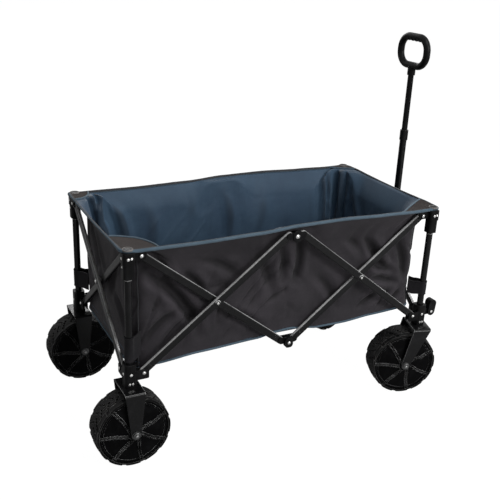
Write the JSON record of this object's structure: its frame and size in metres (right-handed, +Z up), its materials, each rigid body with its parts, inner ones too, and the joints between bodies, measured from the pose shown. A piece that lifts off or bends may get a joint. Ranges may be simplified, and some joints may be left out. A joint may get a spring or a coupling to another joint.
{
  "type": "folding beach cart",
  "caption": "Folding beach cart: fabric basket in a scissor frame with telescoping posts, broad wheels, swivel casters in front and a telescoping pull handle.",
  "frame": {"origin": "on the ground, under the middle of the cart's overall length and width", "axes": "+X towards the handle end, +Y to the cart's left, +Z up"},
  "size_m": [1.049, 0.5564, 1.0155],
  "materials": {
    "frame_tube": "satin black powder coat on steel tube",
    "fork_steel": "satin black powder coat on pressed steel",
    "handle_tube": "satin black powder coat",
    "bracket_plastic": "moulded nylon, fine texture",
    "grip_plastic": "moulded grip, fine texture",
    "wheel_plastic": "moulded plastic with raised ribs",
    "tyre_tread": "moulded block tread",
    "basket_cloth": "charcoal coated polyester, plain weave",
    "basket_lining": "navy coated polyester, plain weave"
  },
  "bodies": {
    "rear_right_corner": {"rear_right_lower_bracket": "bracket_plastic", "rear_right_post_tube": "frame_tube", "rear_right_fork": "fork_steel"},
    "rear_right_top": {"rear_right_upper_bracket": "bracket_plastic", "rear_right_post_rod": "frame_tube", "rear_right_corner_flap": "basket_cloth", "rear_wall": "basket_cloth"},
    "rear_right_rising": {"rear_right_rising_strut": "frame_tube"},
    "rear_right_falling": {"rear_right_falling_strut": "frame_tube"},
    "rear_right_wheel_body": {"rear_right_wheel": "wheel_plastic", "rear_right_tyre": "tyre_tread"},
    "rear_left_corner": {"rear_left_lower_bracket": "bracket_plastic", "rear_left_post_tube": "frame_tube", "rear_left_fork": "fork_steel"},
    "rear_left_top": {"rear_left_upper_bracket": "bracket_plastic", "rear_left_post_rod": "frame_tube", "rear_left_corner_flap": "basket_cloth"},
    "rear_left_rising": {"rear_left_rising_strut": "frame_tube"},
    "rear_left_falling": {"rear_left_falling_strut": "frame_tube"},
    "rear_left_wheel_body": {"rear_left_wheel": "wheel_plastic", "rear_left_tyre": "tyre_tread"},
    "rear_outer": {"rear_outer_strut": "frame_tube"},
    "rear_inner": {"rear_inner_strut": "frame_tube"},
    "front_right_corner": {"front_right_lower_bracket": "bracket_plastic", "front_right_post_tube": "frame_tube"},
    "front_right_top": {"front_right_upper_bracket": "bracket_plastic", "front_right_post_rod": "frame_tube", "front_right_corner_flap": "basket_cloth", "front_wall": "basket_cloth"},
    "front_right_rising": {"front_right_rising_strut": "frame_tube"},
    "front_right_falling": {"front_right_falling_strut": "frame_tube"},
    "front_right_wheel_body": {"front_right_wheel": "wheel_plastic", "front_right_tyre": "tyre_tread"},
    "front_left_corner": {"front_left_lower_bracket": "bracket_plastic", "front_left_post_tube": "frame_tube"},
    "front_left_top": {"front_left_upper_bracket": "bracket_plastic", "front_left_post_rod": "frame_tube", "front_left_corner_flap": "basket_cloth"},
    "front_left_rising": {"front_left_rising_strut": "frame_tube"},
    "front_left_falling": {"front_left_falling_strut": "frame_tube"},
    "front_left_wheel_body": {"front_left_wheel": "wheel_plastic", "front_left_tyre": "tyre_tread"},
    "front_outer": {"front_outer_strut": "frame_tube"},
    "front_inner": {"front_inner_strut": "frame_tube"},
    "right_top_hub_body": {"right_top_hub": "bracket_plastic", "right_wall": "basket_cloth"},
    "right_bottom_hub_body": {"right_bottom_hub": "bracket_plastic"},
    "right_floor_body": {"right_floor": "basket_lining"},
    "front_right_caster": {"front_right_fork": "fork_steel"},
    "right_swivel_lock_body": {"right_swivel_lock": "bracket_plastic"},
    "left_top_hub_body": {"left_top_hub": "bracket_plastic", "left_wall": "basket_cloth"},
    "left_bottom_hub_body": {"left_bottom_hub": "bracket_plastic"},
    "left_floor_body": {"left_floor": "basket_lining"},
    "front_left_caster": {"front_left_fork": "fork_steel"},
    "left_swivel_lock_body": {"left_swivel_lock": "bracket_plastic"},
    "handle_base": {"handle_bracket": "bracket_plastic"},
    "handle_lower": {"handle_outer_tube": "handle_tube"},
    "handle_upper": {"handle_inner_tube": "handle_tube", "handle_grip": "grip_plastic"}
  },
  "joints": [
    {"name": "frame_fold", "type": "hinge", "parent": "rear_right_corner", "child": "rear_right_rising", "pos_m": [-0.3945, -0.232, 0.248], "axis": [0, -1, 0], "range_deg": [0, 36], "deforming": ["right_wall", "left_wall", "rear_wall", "front_wall", "right_floor", "left_floor"]},
    {"name": "rear_right_crossing", "type": "hinge", "parent": "rear_right_rising", "child": "rear_right_falling", "pos_m": [-0.1995, -0.232, 0.3995], "axis": [0, -1, 0], "range_deg": [-72.5, 0.5]},
    {"name": "right_top_hub_turn", "type": "hinge", "parent": "rear_right_rising", "child": "right_top_hub_body", "pos_m": [-0.0045, -0.232, 0.551], "axis": [0, -1, 0], "range_deg": [-36.5, 0.5]},
    {"name": "right_bottom_hub_turn", "type": "hinge", "parent": "rear_right_falling", "child": "right_bottom_hub_body", "pos_m": [-0.0045, -0.22, 0.248], "axis": [0, -1, 0], "range_deg": [-0.5, 36.5]},
    {"name": "rear_right_top_turn", "type": "hinge", "parent": "rear_right_falling", "child": "rear_right_top", "pos_m": [-0.3945, -0.22, 0.551], "axis": [0, -1, 0], "range_deg": [-0.5, 36.5]},
    {"name": "front_right_rising_turn", "type": "hinge", "parent": "right_top_hub_body", "child": "front_right_rising", "pos_m": [0.0355, -0.232, 0.551], "axis": [0, -1, 0], "range_deg": [-36.5, 0.5]},
    {"name": "front_right_crossing", "type": "hinge", "parent": "front_right_rising", "child": "front_right_falling", "pos_m": [0.2305, -0.232, 0.3995], "axis": [0, -1, 0], "range_deg": [-0.5, 72.5]},
    {"name": "front_right_corner_turn", "type": "hinge", "parent": "front_right_rising", "child": "front_right_corner", "pos_m": [0.4255, -0.232, 0.248], "axis": [0, -1, 0], "range_deg": [-0.5, 36.5]},
    {"name": "front_right_top_turn", "type": "hinge", "parent": "front_right_falling", "child": "front_right_top", "pos_m": [0.4255, -0.22, 0.551], "axis": [0, -1, 0], "range_deg": [-36.5, 0.5]},
    {"name": "rear_outer_turn", "type": "hinge", "parent": "rear_right_corner", "child": "rear_outer", "pos_m": [-0.4335, -0.195, 0.248], "axis": [1, 0, 0], "range_deg": [-0.5, 36.5]},
    {"name": "rear_crossing", "type": "hinge", "parent": "rear_outer", "child": "rear_inner", "pos_m": [-0.4335, 0, 0.3995], "axis": [1, 0, 0], "range_deg": [-72.5, 0.5]},
    {"name": "rear_left_corner_turn", "type": "hinge", "parent": "rear_inner", "child": "rear_left_corner", "pos_m": [-0.4215, 0.195, 0.248], "axis": [1, 0, 0], "range_deg": [-0.5, 36.5]},
    {"name": "rear_left_top_turn", "type": "hinge", "parent": "rear_outer", "child": "rear_left_top", "pos_m": [-0.4335, 0.195, 0.551], "axis": [1, 0, 0], "range_deg": [-36.5, 0.5]},
    {"name": "front_outer_turn", "type": "hinge", "parent": "front_right_corner", "child": "front_outer", "pos_m": [0.4645, -0.195, 0.248], "axis": [1, 0, 0], "range_deg": [-0.5, 36.5]},
    {"name": "front_crossing", "type": "hinge", "parent": "front_outer", "child": "front_inner", "pos_m": [0.4645, 0, 0.3995], "axis": [1, 0, 0], "range_deg": [-72.5, 0.5]},
    {"name": "front_left_corner_turn", "type": "hinge", "parent": "front_inner", "child": "front_left_corner", "pos_m": [0.4525, 0.195, 0.248], "axis": [1, 0, 0], "range_deg": [-0.5, 36.5]},
    {"name": "front_left_top_turn", "type": "hinge", "parent": "front_outer", "child": "front_left_top", "pos_m": [0.4645, 0.195, 0.551], "axis": [1, 0, 0], "range_deg": [-36.5, 0.5]},
    {"name": "rear_left_rising_turn", "type": "hinge", "parent": "rear_left_corner", "child": "rear_left_rising", "pos_m": [-0.3945, 0.232, 0.248], "axis": [0, -1, 0], "range_deg": [-0.5, 36.5]},
    {"name": "rear_left_crossing", "type": "hinge", "parent": "rear_left_rising", "child": "rear_left_falling", "pos_m": [-0.1995, 0.232, 0.3995], "axis": [0, -1, 0], "range_deg": [-72.5, 0.5]},
    {"name": "left_top_hub_turn", "type": "hinge", "parent": "rear_left_rising", "child": "left_top_hub_body", "pos_m": [-0.0045, 0.232, 0.551], "axis": [0, -1, 0], "range_deg": [-36.5, 0.5]},
    {"name": "left_bottom_hub_turn", "type": "hinge", "parent": "rear_left_falling", "child": "left_bottom_hub_body", "pos_m": [-0.0045, 0.22, 0.248], "axis": [0, -1, 0], "range_deg": [-0.5, 36.5]},
    {"name": "front_left_rising_turn", "type": "hinge", "parent": "front_left_corner", "child": "front_left_rising", "pos_m": [0.4255, 0.232, 0.248], "axis": [0, -1, 0], "range_deg": [-36.5, 0.5]},
    {"name": "front_left_crossing", "type": "hinge", "parent": "front_left_rising", "child": "front_left_falling", "pos_m": [0.2305, 0.232, 0.3995], "axis": [0, -1, 0], "range_deg": [-0.5, 72.5]},
    {"name": "right_floor_fold", "type": "hinge", "parent": "right_top_hub_body", "child": "right_floor_body", "pos_m": [0.0155, -0.2065, 0.256], "axis": [1, 0, 0], "range_deg": [-0.5, 67.1]},
    {"name": "left_floor_fold", "type": "hinge", "parent": "left_top_hub_body", "child": "left_floor_body", "pos_m": [0.0155, 0.2065, 0.256], "axis": [-1, 0, 0], "range_deg": [-0.5, 67.1]},
    {"name": "handle_base_turn", "type": "hinge", "parent": "front_outer", "child": "handle_base", "pos_m": [0.4645, 0, 0.3995], "axis": [1, 0, 0], "range_deg": [-36.5, 0.5]},
    {"name": "handle_tilt", "type": "hinge", "parent": "handle_base", "child": "handle_lower", "pos_m": [0.5085, 0, 0.3995], "axis": [0, 1, 0], "range_deg": [0, 100]},
    {"name": "handle_slide", "type": "slide", "parent": "handle_lower", "child": "handle_upper", "axis": [0, 0, 1], "range_m": [-0.12, 0.1]},
    {"name": "front_right_swivel", "type": "hinge", "parent": "front_right_corner", "child": "front_right_caster", "pos_m": [0.4585, -0.226, 0.213], "axis": [0, 0, 1], "continuous": true},
    {"name": "front_right_spin", "type": "hinge", "parent": "front_right_caster", "child": "front_right_wheel_body", "pos_m": [0.42025, -0.2143, 0.097], "axis": [0.2924, 0.9563, 0], "continuous": true},
    {"name": "rear_right_spin", "type": "hinge", "parent": "rear_right_corner", "child": "rear_right_wheel_body", "pos_m": [-0.4275, -0.226, 0.097], "axis": [0, 1, 0], "continuous": true},
    {"name": "right_swivel_lock_turn", "type": "hinge", "parent": "front_right_corner", "child": "right_swivel_lock_body", "pos_m": [0.4965, -0.226, 0.248], "axis": [0, 1, 0], "range_deg": [0, 55]},
    {"name": "front_left_swivel", "type": "hinge", "parent": "front_left_corner", "child": "front_left_caster", "pos_m": [0.4585, 0.226, 0.213], "axis": [0, 0, 1], "continuous": true},
    {"name": "front_left_spin", "type": "hinge", "parent": "front_left_caster", "child": "front_left_wheel_body", "pos_m": [0.42025, 0.2143, 0.097], "axis": [-0.2924, 0.9563, 0], "continuous": true},
    {"name": "rear_left_spin", "type": "hinge", "parent": "rear_left_corner", "child": "rear_left_wheel_body", "pos_m": [-0.4275, 0.226, 0.097], "axis": [0, 1, 0], "continuous": true},
    {"name": "left_swivel_lock_turn", "type": "hinge", "parent": "front_left_corner", "child": "left_swivel_lock_body", "pos_m": [0.4965, 0.226, 0.248], "axis": [0, 1, 0], "range_deg": [0, 55]}
  ],
  "couplings": [
    {"joint": "rear_right_crossing", "follows": "frame_fold", "ratio": -2},
    {"joint": "right_top_hub_turn", "follows": "frame_fold", "ratio": -1},
    {"joint": "right_bottom_hub_turn", "follows": "frame_fold", "ratio": 1},
    {"joint": "rear_right_top_turn", "follows": "frame_fold", "ratio": 1},
    {"joint": "front_right_rising_turn", "follows": "frame_fold", "ratio": -1},
    {"joint": "front_right_crossing", "follows": "frame_fold", "ratio": 2},
    {"joint": "front_right_corner_turn", "follows": "frame_fold", "ratio": 1},
    {"joint": "front_right_top_turn", "follows": "frame_fold", "ratio": -1},
    {"joint": "rear_outer_turn", "follows": "frame_fold", "ratio": 1},
    {"joint": "rear_crossing", "follows": "frame_fold", "ratio": -2},
    {"joint": "rear_left_corner_turn", "follows": "frame_fold", "ratio": 1},
    {"joint": "rear_left_top_turn", "follows": "frame_fold", "ratio": -1},
    {"joint": "front_outer_turn", "follows": "frame_fold", "ratio": 1},
    {"joint": "front_crossing", "follows": "frame_fold", "ratio": -2},
    {"joint": "front_left_corner_turn", "follows": "frame_fold", "ratio": 1},
    {"joint": "front_left_top_turn", "follows": "frame_fold", "ratio": -1},
    {"joint": "rear_left_rising_turn", "follows": "frame_fold", "ratio": 1},
    {"joint": "rear_left_crossing", "follows": "frame_fold", "ratio": -2},
    {"joint": "left_top_hub_turn", "follows": "frame_fold", "ratio": -1},
    {"joint": "left_bottom_hub_turn", "follows": "frame_fold", "ratio": 1},
    {"joint": "front_left_rising_turn", "follows": "frame_fold", "ratio": -1},
    {"joint": "front_left_crossing", "follows": "frame_fold", "ratio": 2},
    {"joint": "right_floor_fold", "follows": "frame_fold", "ratio": 1.85},
    {"joint": "left_floor_fold", "follows": "frame_fold", "ratio": 1.85},
    {"joint": "handle_base_turn", "follows": "frame_fold", "ratio": -1}
  ]
}
